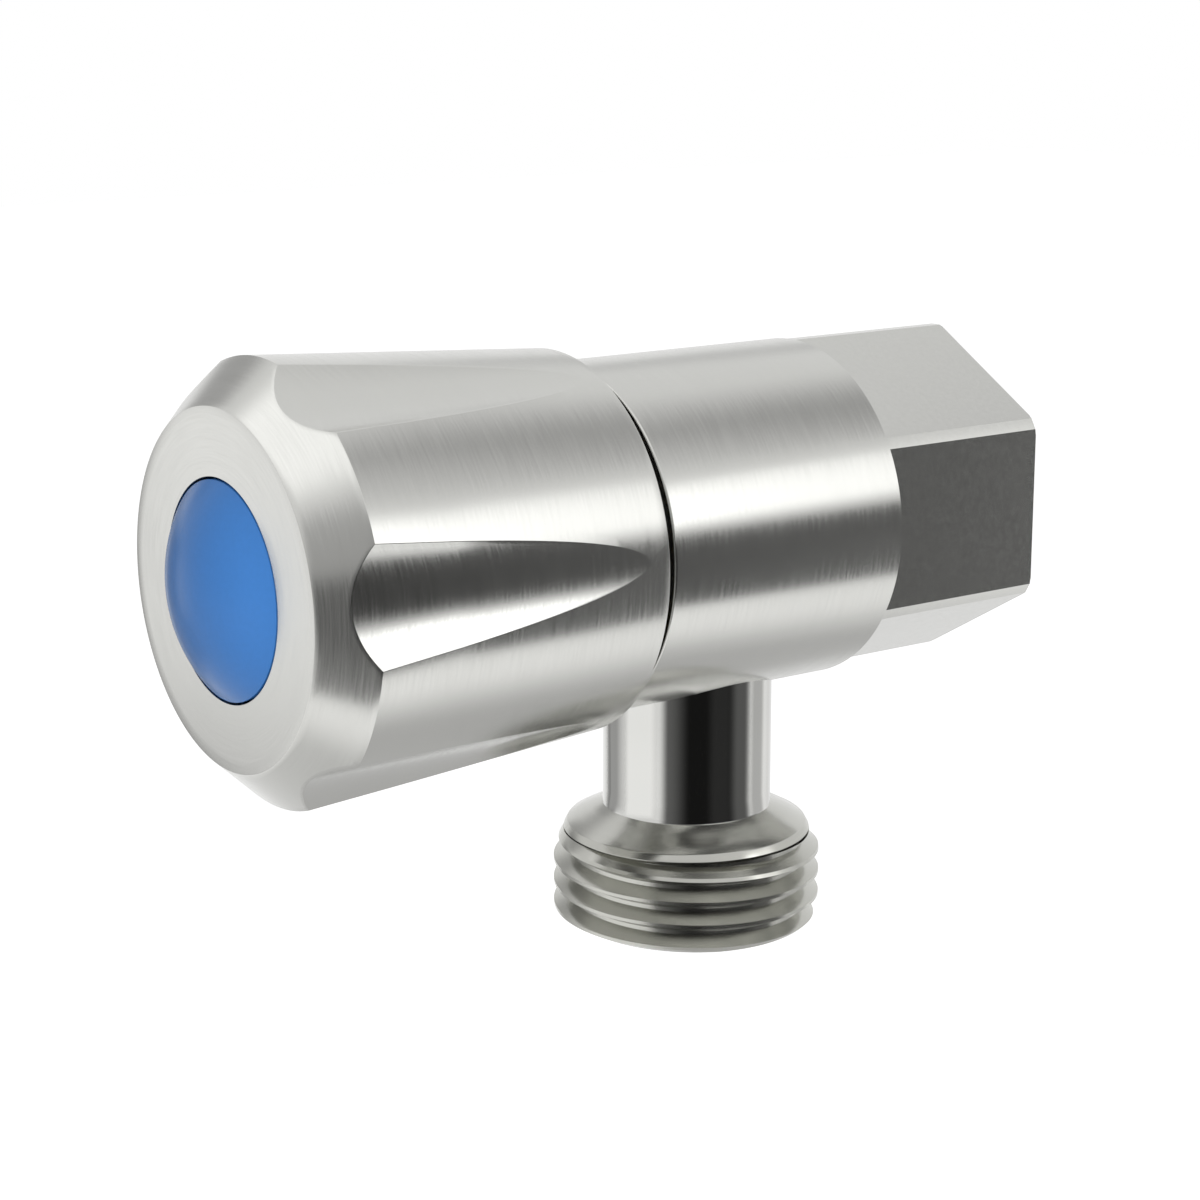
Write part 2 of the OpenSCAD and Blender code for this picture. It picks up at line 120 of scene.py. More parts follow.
def lathe(name, columns, profile, down=False):
    bpy.ops.object.select_all(action="DESELECT")
    station, radius = profile[0]
    bpy.ops.mesh.primitive_circle_add(
        vertices=columns, radius=radius * mm, fill_type="NOTHING",
        location=onAxis(station, down), rotation=(0 if down else pi / 2, 0, 0))
    piece = bpy.context.object
    piece.name = piece.data.name = name
    keepPlace()
    bpy.ops.object.mode_set(mode="EDIT")
    bpy.ops.mesh.select_mode(type="EDGE")
    bpy.ops.mesh.select_all(action="SELECT")
    for nextStation, nextRadius in profile[1:]:
        move = onAxis(nextStation, down) - onAxis(station, down)
        bpy.ops.mesh.extrude_edges_move(TRANSFORM_OT_translate={"value": move})
        grow = nextRadius / radius
        if grow != 1:
            bpy.ops.transform.resize(
                value=(grow, grow, 1) if down else (grow, 1, grow),
                center_override=onAxis(nextStation, down))
        station, radius = nextStation, nextRadius
    bpy.ops.mesh.select_all(action="SELECT")
    bpy.ops.mesh.remove_doubles(threshold=closest * mm)
    bpy.ops.mesh.normals_make_consistent(inside=False)
    done()
    return piece


def steps(start, end, count):
    # The points that divide a stretch of profile into equal parts, without its ends
    (s0, r0), (s1, r1) = start, end
    return [(s0 + (s1 - s0) * i / count, r0 + (r1 - r0) * i / count) for i in range(1, count)]


def onRing(ends, rings):
    for station, radius in rings:
        if all(abs(s - station) < nearEnough and abs(r - radius) < nearEnough for s, r, _ in ends):
            return True
    return False


def markEdges(piece, share, down=False):
    # Each edge is marked with its share of the bevel, from 0 to 1
    mesh = piece.data
    weights = mesh.attributes.new("bevel_weight_edge", "FLOAT", "EDGE")
    for edge in mesh.edges:
        ends = [polar(mesh.vertices[v].co, down) for v in edge.vertices]
        weights.data[edge.index].value = float(share(ends))


def bevelEdges(piece, width):
    finishModifier(piece, "BEVEL", width=width * mm, segments=2, limit_method="WEIGHT",
                   offset_type="OFFSET", use_clamp_overlap=False)


def unwrapRound(piece, down=False):
    # u runs along the profile and v round the axis, so the brushed finish follows the turning
    mesh = piece.data
    layer = mesh.uv_layers.get("turning") or mesh.uv_layers.new(name="turning")
    mesh.uv_layers.active = layer
    for face in mesh.polygons:
        rounds = []
        for loop in face.loop_indices:
            station, radius, angle = polar(mesh.vertices[mesh.loops[loop].vertex_index].co, down)
            rounds.append((loop, (station - radius) / alongUnit, angle / 360))
        lowest = min(v for _, _, v in rounds)
        for loop, u, v in rounds:
            if v - lowest > 0.5:  # the face lies across the seam
                v -= 1
            layer.data[loop].uv = (u, v)


def shade(piece, angle=20):
    only(piece)
    bpy.ops.object.shade_smooth_by_angle(angle=radians(angle), keep_sharp_edges=False)
    finishModifier(piece, "WEIGHTED_NORMAL", keep_sharp=True, weight=70, mode="FACE_AREA")


# Threads: one ridge, its section set up on a plane, then screwed along the axis

flankAngle = 27.5  # half the angle of a pipe thread


def helicalRidge(name, thread, down, limit):
    crest, foot = thread["crest"], thread["foot"]
    bpy.ops.object.select_all(action="DESELECT")
    bpy.ops.mesh.primitive_plane_add(size=1, location=(0, 0, 0))
    ridge = bpy.context.object
    ridge.name = ridge.data.name = name
    keepPlace()
    edit(ridge, "VERT")
    bpy.ops.mesh.delete(type="ONLY_FACE")
    done()
    halfCrest = thread["flat"] / 2
    halfFoot = halfCrest + abs(crest - foot) * tan(radians(flankAngle))
    for vertex in ridge.data.vertices:
        radius = max(crest, foot) if vertex.co.x > 0 else min(crest, foot)
        half = halfCrest if radius == crest else halfFoot
        vertex.co = (radius * mm, 0, copysign(half, vertex.co.y) * mm)
    turns, pitch = thread["turns"], thread["pitch"]
    sense = -1 if thread["leftHanded"] else 1
    finishModifier(ridge, "SCREW", axis="Z", angle=sense * 2 * pi, screw_offset=pitch * mm,
                   iterations=turns, steps=thread["steps"], render_steps=thread["steps"],
                   use_merge_vertices=False)
    lift = -thread["middle"] - turns * pitch / 2
    edit(ridge, "VERT")
    bpy.ops.mesh.select_all(action="SELECT")
    bpy.ops.transform.translate(value=(0, 0, lift * mm))
    bpy.ops.transform.rotate(value=radians(thread["turn"]), orient_axis="Z",
                             center_override=(0, 0, 0))
    if down:
        bpy.ops.transform.translate(value=(0, -outletAt * mm, 0))
    else:
        # With no window this turns the other way, so down becomes forward
        bpy.ops.transform.rotate(value=pi / 2, orient_axis="X", center_override=(0, 0, 0))
    for station, keepBelow in ((thread["from"], False), (thread["to"], True)):
        bpy.ops.mesh.select_all(action="SELECT")
        bpy.ops.mesh.bisect(
            plane_co=onAxis(station, down), plane_no=(0, 0, 1) if down else (0, 1, 0),
            use_fill=True, clear_inner=keepBelow, clear_outer=not keepBelow, threshold=closest * mm / 100)
    bpy.ops.mesh.select_all(action="SELECT")
    bpy.ops.mesh.normals_make_consistent(inside=False)
    done()
    for vertex in ridge.data.vertices:
        station, radius, angle = polar(vertex.co, down)
        vertex.co = fromPolar(station, limit(station, radius), angle, down)
    return ridge


# The body: a turned bar with a milled hexagon, the inlet thread, chamber and mouth

body = {
    "radius": 13.25, "length": 36.7, "edge": 0.12,
    "hexLength": 15.3, "hexHalf": 11.7, "columns": 216, "flatColumns": 17,
    "hexRows": 10, "barrelRows": 16, "shoulderGap": 0.004, "shoulderRow": 0.12,
    "rearRing": 11.1, "skin": 11.5, "milledFrom": 11.3,
    "lead": 1.2, "threadMinor": 9.315, "threadMajor": 10.45, "threadEnd": 13.0,
    "threadFoot": 0.1, "threadFrom": 0.08, "threadRunOut": 0.3,
    "thread": {"pitch": 1.814, "flat": 0.32, "turns": 10, "steps": 96, "middle": 6.0, "turn": 20,
               "leftHanded": False},
    "passage": 4.6, "seatAt": 17.0, "chamber": 9.2, "chamberEnd": 30.44,
    "mouth": 9.95, "pocketAt": 35.04, "pocket": 11.0,
    "port": 5.32, "portFrom": 1.0, "portColumns": 96, "bevel": 0.05,
}


def milledPlace(station, radius, angle):
    # Where a point of the turned bar goes when the six flats are milled
    b = body
    flatEnd = degrees(acos(b["hexHalf"] / b["radius"]))
    middle = middleOfSixth(angle)
    column = (angle - middle) / (360 / b["columns"])
    if abs(column) < b["flatColumns"] + 0.1:
        angle = middle + column / b["flatColumns"] * flatEnd
    if radius > b["skin"] and station < b["hexLength"] + b["shoulderGap"] / 2:
        radius = min(radius, b["hexHalf"] / cos(radians(angle - middle)))
    return station, radius, angle


def makeBody():
    b = body
    r, length, edge = b["radius"], b["length"], b["edge"]
    shoulder = b["hexLength"] + b["shoulderGap"]
    beforeShoulder = (b["hexLength"] - b["shoulderRow"], r)
    afterShoulder = (shoulder + b["shoulderRow"], r)
    frontEdge = (length - edge, r)
    outside = [(0, r - edge), (edge, r)] + steps((edge, r), beforeShoulder, b["hexRows"])
    outside += [beforeShoulder, (b["hexLength"], r), (shoulder, r), afterShoulder]
    outside += steps(afterShoulder, frontEdge, b["barrelRows"]) + [frontEdge, (length, r - edge)]
    mouthOfThread = b["threadMinor"] + b["lead"]
    inside = [
        (length, b["pocket"]), (b["pocketAt"], b["pocket"]), (b["pocketAt"], b["mouth"]),
        (b["chamberEnd"], b["mouth"]), (b["chamberEnd"], b["chamber"]),
        (b["seatAt"], b["chamber"]), (b["seatAt"], b["passage"]),
        (b["threadEnd"], b["passage"]), (b["threadEnd"], b["threadMajor"]),
        (mouthOfThread - b["threadMajor"], b["threadMajor"]), (0, mouthOfThread), (0, b["rearRing"]),
    ]
    piece = lathe("tapBody", b["columns"], outside + inside + outside[:1])
    rings = [frontEdge, (length, r - edge), (0, mouthOfThread), (0, r - edge)]
    markEdges(piece, lambda ends: onRing(ends, rings))
    for vertex in piece.data.vertices:
        vertex.co = fromPolar(*milledPlace(*polar(vertex.co, False)), False)
    edit(piece)
    bpy.ops.mesh.select_all(action="SELECT")
    bpy.ops.mesh.remove_doubles(threshold=1.5 * b["shoulderGap"] * mm)
    done()
    bevelEdges(piece, b["bevel"])

    def leadIn(station, radius):
        onCrest = radius < b["threadMajor"] - b["threadFoot"]
        return max(radius, mouthOfThread - station) if onCrest else radius

    ridge = helicalRidge("inletThread", {
        **b["thread"], "crest": b["threadMinor"], "foot": b["threadMajor"] + b["threadFoot"],
        "from": b["threadFrom"], "to": b["threadEnd"] + b["threadRunOut"]}, False, leadIn)
    combine(piece, ridge, "UNION")
    bpy.ops.object.select_all(action="DESELECT")
    portLength = r + beyond - b["portFrom"]
    bpy.ops.mesh.primitive_cylinder_add(
        vertices=b["portColumns"], radius=b["port"] * mm, depth=portLength * mm,
        location=onAxis(b["portFrom"] + portLength / 2, True))
    cutter = bpy.context.object
    keepPlace()
    combine(piece, cutter, "DIFFERENCE")
    unwrapRound(piece)
    shade(piece)
    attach(piece, "tap_body")
    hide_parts("valve_body")
    return piece


# The knob: its six flutes are laid along the columns and the front row of the turned blank

knob = {
    "from": 37.95, "coneAt": 62.35, "to": 65.75, "edge": 0.1,
    "backRadius": 14.35, "frontRadius": 15.9, "faceRadius": 12.75,
    "fluteRadius": 10.59, "fluteFloor": 14.47, "firstFlute": 4.88,
    "columns": 264, "fluteColumns": 13, "stretchFrom": 58.0,
    "skirtRows": (0.35, 0.65, 0.85), "fluteRows": 17, "firstRow": 0.2, "rowStep": 0.12,
    "rowGrowth": 0.055, "lastRow": 0.4, "coneRows": 9, "faceRows": 5,
    "tipReach": 0.15, "tipHalf": 0.9, "tipSpread": 4,  # the columns draw together at a flute's tip
    "bevelGrowth": 6, "edgeSlack": 0.05,
    "recess": 7.9, "recessAt": 61.15, "beadAt": 63.45, "bead": 0.4,
    "screwHole": 2.25, "insertEnd": 59.45, "insert": 6.0, "insertFrom": 51.05, "skirt": 12.2,
    "bevel": 0.035,
}


def taperAt(station):
    k = knob
    share = (station - k["from"]) / (k["coneAt"] - k["from"])
    return k["backRadius"] + (k["frontRadius"] - k["backRadius"]) * share


def fluteTip():
    # Station where the flute's floor leaves the taper
    k = knob
    share = (k["fluteFloor"] - k["backRadius"]) / (k["frontRadius"] - k["backRadius"])
    return k["from"] + share * (k["coneAt"] - k["from"])


def fluteHalf(radius):
    # Half the angle between a flute's two edges, seen from the knob's axis
    reach = knob["fluteFloor"] + knob["fluteRadius"]
    if radius <= knob["fluteFloor"]:
        return 0
    ratio = (radius ** 2 + reach ** 2 - knob["fluteRadius"] ** 2) / (2 * radius * reach)
    return degrees(acos(ratio))


def fluteAt(away):
    # Distance from the knob's axis to the flute's surface, at an angle from its middle
    reach = knob["fluteFloor"] + knob["fluteRadius"]
    side = reach * sin(radians(away))
    return reach * cos(radians(away)) - sqrt(knob["fluteRadius"] ** 2 - side ** 2)


def flutedPlace(station, radius, angle):
    # Where a point of the turned blank goes when the flutes are cut
    k = knob
    start, cone, end = k["from"], k["coneAt"], k["to"]
    front, face = k["frontRadius"], k["faceRadius"]
    tip = fluteTip()
    outside = radius > k["skirt"] + margin or station > cone and radius > k["recess"] + margin
    if not outside:
        return station, radius, angle + k["firstFlute"]
    middle = middleOfSixth(angle)
    away = angle - middle
    half = fluteHalf(min(taperAt(station), front))
    if station < tip + k["tipReach"]:
        half = k["tipHalf"] + k["tipSpread"] * max(0, (tip - station) / (tip - start))
    innerEdge = k["fluteColumns"] * 360 / k["columns"]
    if abs(away) <= innerEdge + margin:
        away = away / innerEdge * half
    else:
        share = (abs(away) - innerEdge) / (30 - innerEdge)
        away = copysign(half + (30 - half) * share, away)
    inFlute = abs(away) < fluteHalf(front) and station > tip + margin
    slope = (front - face) / (end - cone)
    coneStart = cone
    if inFlute:
        coneStart = cone + max(0, front - fluteAt(away)) / slope
    if station <= cone + nearEnough:
        if station > k["stretchFrom"]:
            station += (coneStart - cone) * (station - k["stretchFrom"]) / (cone - k["stretchFrom"])
        if inFlute:
            radius = min(taperAt(min(station, cone)), fluteAt(away))
    elif station < end - nearEnough or radius > face - margin:
        station = coneStart + (end - coneStart) * (station - cone) / (end - cone)
        radius = front - slope * (station - cone)
    return station, radius, middle + away + k["firstFlute"]


def makeKnob():
    k = knob
    start, cone, end, edge = k["from"], k["coneAt"], k["to"], k["edge"]
    tip = fluteTip()
    barrel = [start + edge] + [start + (tip - start) * share for share in k["skirtRows"]] + [tip]
    for i in range(k["fluteRows"]):
        barrel.append(tip + k["firstRow"] + k["rowStep"] * i + k["rowGrowth"] * i * i)
    barrel = [s for s in barrel if s < cone - k["lastRow"]] + [cone]
    backEdge, coneEdge = (start + edge, taperAt(start + edge)), (cone, k["frontRadius"])
    faceEdge, recessEdge = (end, k["faceRadius"]), (end, k["recess"])
    outside = [(start, taperAt(start) - edge)] + [(s, taperAt(s)) for s in barrel]
    outside += steps(coneEdge, faceEdge, k["coneRows"]) + [faceEdge]
    outside += steps(faceEdge, recessEdge, k["faceRows"])
    inside = [
        recessEdge, (k["beadAt"] + k["bead"], k["recess"]), (k["beadAt"], k["recess"] + k["bead"]),
        (k["beadAt"] - k["bead"], k["recess"]), (k["recessAt"], k["recess"]),
        (k["recessAt"], k["screwHole"]), (k["insertEnd"], k["screwHole"]), (k["insertEnd"], k["insert"]),
        (k["insertFrom"], k["insert"]), (k["insertFrom"], k["skirt"]), (start, k["skirt"]),
    ]
    piece = lathe("tapKnob", k["columns"], outside + inside + outside[:1])
    rings = [coneEdge, faceEdge, recessEdge, backEdge, (start, k["skirt"])]
    innerEdge = k["fluteColumns"] * 360 / k["columns"]

    def softened(ends):
        if onRing(ends, rings):
            return 1
        for station, radius, angle in ends:
            away = abs(angle - middleOfSixth(angle))
            onBarrel = abs(radius - taperAt(station)) < nearEnough and tip - margin < station < cone + margin
            if abs(away - innerEdge) > k["edgeSlack"] or not onBarrel:
                return 0
        # A flute's edge gets sharper towards its tip
        return min(1, max(0, (min(ends)[0] - tip) / k["bevelGrowth"]))

    markEdges(piece, softened)
    for vertex in piece.data.vertices:
        vertex.co = fromPolar(*flutedPlace(*polar(vertex.co, False)), False)
    bevelEdges(piece, k["bevel"])
    unwrapRound(piece)
    shade(piece)
    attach(piece, "knob")
    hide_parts("handle")
    return piece


# The outlet: polished neck, coned collar and the male thread

outlet = {
    "top": 10.25, "spigot": 5.3, "neckTop": 11.15, "neck": 6.6, "neckEnd": 22.4,
    "cone": 9.4, "coneEnd": 23.86, "collar": 9.7, "rimEnd": 24.42, "relief": 8.5, "reliefEnd": 24.74,
    "major": 10.475, "root": 9.28, "threadFoot": 0.1,
    # The photo shows the thread left-handed, while real ones are right-handed
    "thread": {"pitch": 1.814, "flat": 0.26, "turns": 6, "steps": 120, "middle": 27.78, "turn": -38,
               "leftHanded": True},
    "runIn": 1.2, "runInDepth": 0.7, "chamfer": 0.5, "end": 31.5, "endEdge": 0.3,
    "bore": 4.5, "boreEdge": 0.35, "bevel": 0.06,
    "columns": 192, "neckRows": 8, "coneRows": 3, "threadRows": 6, "boreRows": 4,
}


def makeOutlet():
    o = outlet
    neckTop, neckEnd = (o["neckTop"], o["neck"]), (o["neckEnd"], o["neck"])
    coneEnd, rim = (o["coneEnd"], o["cone"]), (o["rimEnd"], o["collar"])
    threadTop, threadEnd = (o["reliefEnd"], o["root"]), (o["end"] - o["endEdge"], o["root"])
    boreTop, boreEnd = (o["top"], o["bore"]), (o["end"] - o["boreEdge"], o["bore"])
    boreMouth = (o["end"], o["bore"] + o["boreEdge"])
    profile = [boreTop, (o["top"], o["spigot"]), (o["neckTop"], o["spigot"]), neckTop]
    profile += steps(neckTop, neckEnd, o["neckRows"]) + [neckEnd]
    profile += steps(neckEnd, coneEnd, o["coneRows"])
    profile += [coneEnd, rim, (o["rimEnd"], o["relief"]), (o["reliefEnd"], o["relief"]), threadTop]
    profile += steps(threadTop, threadEnd, o["threadRows"])
    profile += [threadEnd, (o["end"], o["root"] - o["endEdge"]), boreMouth, boreEnd]
    profile += steps(boreEnd, boreTop, o["boreRows"])
    piece = lathe("tapOutlet", o["columns"], profile + profile[:1], down=True)
    markEdges(piece, lambda ends: onRing(ends, [neckEnd, coneEnd, rim, boreMouth]), down=True)
    bevelEdges(piece, o["bevel"])

    def chamfered(station, radius):
        top = o["runInDepth"] * max(0, 1 - (station - o["reliefEnd"]) / o["runIn"])
        foot = max(0, station - (o["end"] - o["chamfer"]))
        return min(radius, o["major"] - max(top, foot))

    ridge = helicalRidge("outletThread", {
        **o["thread"], "crest": o["major"], "foot": o["root"] - o["threadFoot"],
        "from": o["reliefEnd"] - o["threadFoot"], "to": o["end"]}, True, chamfered)
    combine(piece, ridge, "UNION")
    unwrapRound(piece, down=True)
    shade(piece)
    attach(piece, "tap_body")
    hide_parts("outlet_nipple")
    return piece


# The button: a domed cap with a snap bead and four fingers

button = {
    "from": 61.17, "radius": 7.72, "faceAt": 65.75, "rim": 0.3, "rise": 2.8, "wall": 1.2,
    "beadAt": 63.45, "bead": 0.38, "slot": 1.5, "slotLength": 2.9,
    "columns": 128, "domeRows": 22, "innerRows": 8, "pole": 0.01,
}


def closePole(piece, station, pole):
    edit(piece, "VERT")
    done()
    for vertex in piece.data.vertices:
        place, radius, _ = polar(vertex.co, False)
        vertex.select = radius < 2 * pole and abs(place - station) < margin
    bpy.ops.object.mode_set(mode="EDIT")
    bpy.ops.mesh.merge(type="CENTER")
    done()


def makeButton():
    b = button
    ball = (b["radius"] ** 2 + b["rise"] ** 2) / (2 * b["rise"])
    centre = b["faceAt"] + b["rise"] - ball
    inner = ball - b["wall"]
    innerRadius = b["radius"] - b["wall"]
    rimAngle = atan2(b["radius"], b["faceAt"] - centre)
    profile = [
        (b["from"], b["radius"]), (b["beadAt"] - b["bead"], b["radius"]),
        (b["beadAt"], b["radius"] + b["bead"]), (b["beadAt"] + b["bead"], b["radius"]),
        (b["faceAt"] - b["rim"], b["radius"]),
    ]
    for i in range(b["domeRows"]):
        angle = rimAngle * (1 - i / b["domeRows"])
        profile.append((centre + ball * cos(angle), ball * sin(angle)))
    profile += [(centre + ball, b["pole"]), (centre + inner, b["pole"])]
    for i in range(1, b["innerRows"] + 1):
        radius = innerRadius * i / b["innerRows"]
        profile.append((centre + sqrt(inner ** 2 - radius ** 2), radius))
    profile.append((b["from"], innerRadius))
    piece = lathe("tapButton", b["columns"], profile + profile[:1])
    for apex in (centre + ball, centre + inner):
        closePole(piece, apex, b["pole"])
    for turn in (0, pi / 2):
        bpy.ops.object.select_all(action="DESELECT")
        bpy.ops.mesh.primitive_cube_add(
            size=1, location=onAxis(b["from"] + (b["slotLength"] - beyond) / 2, False),
            rotation=(0, turn, 0),
            scale=(4 * b["radius"] * mm, (b["slotLength"] + beyond) * mm, b["slot"] * mm))
        cutter = bpy.context.object
        keepPlace()
        combine(piece, cutter, "DIFFERENCE")
    unwrapRound(piece)
    shade(piece, 30)
    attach(piece, "knob")
    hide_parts("index_button")
    return piece


# Finishes

steelColor = (0.56, 0.56, 0.538)
bodyLook = {"color": steelColor, "around": 300, "fine": 600, "smooth": 0.185, "rough": 0.262,
            "anisotropy": 0.6, "bump": 0, "vary": 0.006}
knobLook = {"color": steelColor, "around": 300, "fine": 600, "smooth": 0.185, "rough": 0.262,
            "anisotropy": 0.6, "bump": 0, "vary": 0.006}
threadLook = {"color": (0.47, 0.47, 0.437), "around": 90, "fine": 400, "smooth": 0.18, "rough": 0.24,
              "anisotropy": 0.3, "bump": 0.01, "vary": 0.03}
neckLook = {"color": (0.58, 0.58, 0.56), "around": 60, "fine": 200, "smooth": 0.05, "rough": 0.08,
            "anisotropy": 0.2, "bump": 0.01, "vary": 0.02}
collarLook = {"color": (0.5, 0.5, 0.47), "around": 60, "fine": 300, "smooth": 0.18, "rough": 0.23,
              "anisotropy": 0.2, "bump": 0.01, "vary": 0.03}
hexLook = {"color": steelColor, "metal": 1, "roughness": 0.2, "grain": 2500, "vary": 0.02, "bump": 0.02}
buttonLook = {"color": (0.06, 0.235, 0.64), "roughness": 0.2, "specular": 0.16, "grain": 3000,
              "vary": 0.02, "bump": 0.01}
innerLooks = {
    "brass": {"color": (0.62, 0.42, 0.16), "metal": 1, "roughness": 0.28, "grain": 3000, "vary": 0.06},
    "ceramic": {"color": (0.86, 0.85, 0.82), "roughness": 0.18, "grain": 9000, "vary": 0.02, "bump": 0.03},
    "rubber": {"color": (0.025, 0.025, 0.027), "roughness": 0.6, "grain": 6000, "vary": 0.15, "bump": 0.2},
    "whitePlastic": {"color": (0.8, 0.79, 0.74), "roughness": 0.4, "grain": 4000, "vary": 0.03},
    "springSteel": {"color": (0.4, 0.4, 0.4), "metal": 1, "roughness": 0.3, "grain": 5000, "vary": 0.08},
}
innerNodes = {
    "brass": ["spindle"],
    "ceramic": ["fixed_disc", "moving_disc"],
    "rubber": ["headwork_o_ring", "seat_seal", "spindle_o_ring_rear", "spindle_o_ring_front"],
    "whitePlastic": ["handle_spline_insert", "spindle_thrust_washer", "seal_support_ring"],
    "springSteel": ["spindle_circlip", "handle_screw", "handle_screw_washer"],
}
# Painted shade: a black, non-metal band is painted on the brass collar where it shows in the gap between
# body and knob
gapShade = {"radius": 11.2, "from": 36.72, "to": 37.9, "fade": 0.02, "color": (0.006, 0.006, 0.006),
        "roughness": 0.35}
noiseLow, noiseHigh = 0.3, 0.7  # most of a noise texture lies between these
bandsAround, bandsAlong = 3, 12  # how much coarser the bands of tint are than the streaks
bumpDepth = 0.01  # millimetres
grainSpread = 0.15  # share by which a plain finish is rougher or smoother in places
numberInputs, colorInputs, colorOutput = (2, 3), (6, 7), 2  # sockets of a Mix node


def newFinish(name):
    finish = bpy.data.materials.new(name)
    finish.use_nodes = True
    nodes, links = finish.node_tree.nodes, finish.node_tree.links
    return finish, nodes, links, nodes["Principled BSDF"]


def scaledNoise(nodes, links, source, scale, detail=3):
    spread = nodes.new("ShaderNodeVectorMath")
    spread.operation = "MULTIPLY"
    spread.inputs[1].default_value = scale
    links.new(source, spread.inputs[0])
    noise = nodes.new("ShaderNodeTexNoise")
    noise.inputs["Scale"].default_value = 1
    noise.inputs["Detail"].default_value = detail
    links.new(spread.outputs[0], noise.inputs["Vector"])
    return noise.outputs["Fac"]


def remap(nodes, links, source, low, high, fromLow=noiseLow, fromHigh=noiseHigh):
    mapping = nodes.new("ShaderNodeMapRange")
    mapping.inputs["From Min"].default_value = fromLow
    mapping.inputs["From Max"].default_value = fromHigh
    mapping.inputs["To Min"].default_value = low
    mapping.inputs["To Max"].default_value = high
    links.new(source, mapping.inputs["Value"])
    return mapping.outputs["Result"]


def joinBy(nodes, links, operation, first, second):
    math = nodes.new("ShaderNodeMath")
    math.operation = operation
    links.new(first, math.inputs[0])
    links.new(second, math.inputs[1])
    return math.outputs[0]


def parted(nodes, links, source):
    parts = nodes.new("ShaderNodeSeparateXYZ")
    links.new(source, parts.inputs[0])
    return parts.outputs


def objectPlace(nodes):
    return nodes.new("ShaderNodeTexCoord").outputs["Object"]


def turnedPlace(nodes, links, down):
    # Place round the axis from the object, place along the profile from the turning map
    place = parted(nodes, links, objectPlace(nodes))
    turning = nodes.new("ShaderNodeUVMap")
    turning.uv_map = "turning"
    profile = parted(nodes, links, turning.outputs[0])
    joined = nodes.new("ShaderNodeCombineXYZ")
    links.new(place["X"], joined.inputs["X"])
    links.new(profile["X"], joined.inputs["Y"])
    links.new(place["Y" if down else "Z"], joined.inputs["Z"])
    return joined.outputs[0]


def varyColor(nodes, links, shader, share, look):
    tint = nodes.new("ShaderNodeMix")
    tint.data_type = "RGBA"
    links.new(share, tint.inputs[0])
    for socket, change in zip(colorInputs, (1 - look["vary"], 1 + look["vary"])):
        tint.inputs[socket].default_value = [min(1, c * change) for c in look["color"]] + [1]
    links.new(tint.outputs[colorOutput], shader.inputs["Base Color"])


def roughen(nodes, links, shader, height, strength):
    bump = nodes.new("ShaderNodeBump")
    bump.inputs["Strength"].default_value = strength
    bump.inputs["Distance"].default_value = bumpDepth * mm
    links.new(height, bump.inputs["Height"])
    links.new(bump.outputs[0], shader.inputs["Normal"])


def brushedSteel(name, look, down=False):
    finish, nodes, links, shader = newFinish(name)
    place = turnedPlace(nodes, links, down)
    around, fine = look["around"], look["fine"]
    streaks = scaledNoise(nodes, links, place, (around, fine, around))
    coarse = (around / bandsAround, fine / bandsAlong, around / bandsAround)
    bands = scaledNoise(nodes, links, place, coarse, detail=2)
    shader.inputs["Metallic"].default_value = 1
    shader.inputs["Anisotropic"].default_value = look["anisotropy"]
    varyColor(nodes, links, shader, remap(nodes, links, bands, 0, 1), look)
    links.new(remap(nodes, links, streaks, look["smooth"], look["rough"]), shader.inputs["Roughness"])
    roughen(nodes, links, shader, streaks, look["bump"])
    tangent = nodes.new("ShaderNodeTangent")
    tangent.direction_type = "UV_MAP"
    tangent.uv_map = "turning"
    links.new(tangent.outputs[0], shader.inputs["Tangent"])
    return finish


def plainFinish(name, look):
    finish, nodes, links, shader = newFinish(name)
    grain = scaledNoise(nodes, links, objectPlace(nodes), (look["grain"],) * 3)
    varyColor(nodes, links, shader, remap(nodes, links, grain, 0, 1), look)
    shader.inputs["Metallic"].default_value = look.get("metal", 0)
    shader.inputs["Specular IOR Level"].default_value = look.get("specular", 0.5)
    smoothest, roughest = [look["roughness"] * share for share in (1 - grainSpread, 1 + grainSpread)]
    links.new(remap(nodes, links, grain, smoothest, roughest), shader.inputs["Roughness"])
    roughen(nodes, links, shader, grain, look.get("bump", 0.1))
    return finish


